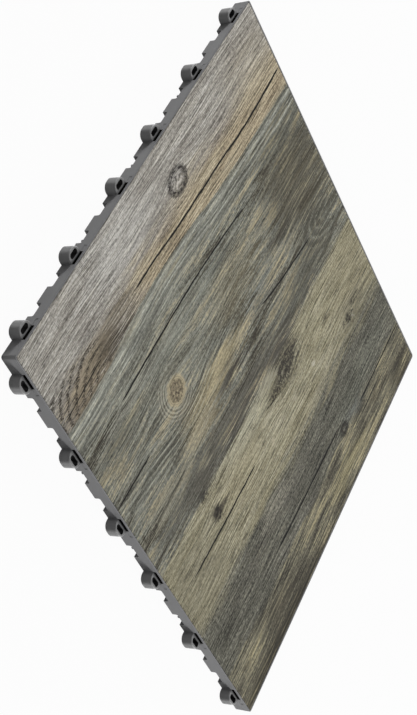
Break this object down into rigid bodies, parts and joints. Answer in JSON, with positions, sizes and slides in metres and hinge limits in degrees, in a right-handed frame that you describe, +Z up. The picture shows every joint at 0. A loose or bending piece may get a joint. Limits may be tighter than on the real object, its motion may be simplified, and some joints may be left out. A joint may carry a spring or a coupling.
{
  "type": "interlocking garage floor tile",
  "caption": "Square snap-together floor tile: grey moulded base with edge loops and pegs, drainage arches and a flush wood-look vinyl top.",
  "frame": {"origin": "centre of the tile's square module, on the floor", "axes": "+Z up through the tread; -X and -Y are the sides with loops, +X and +Y the sides with pegs"},
  "size_m": [0.4076, 0.4076, 0.0127],
  "materials": {
    "grey_polypropylene": "fine matte moulding texture",
    "printed_vinyl": "weathered oak print, embossed satin wear layer"
  },
  "bodies": {
    "root": {"base_tile": "grey_polypropylene", "vinyl_insert": "printed_vinyl"}
  },
  "joints": []
}
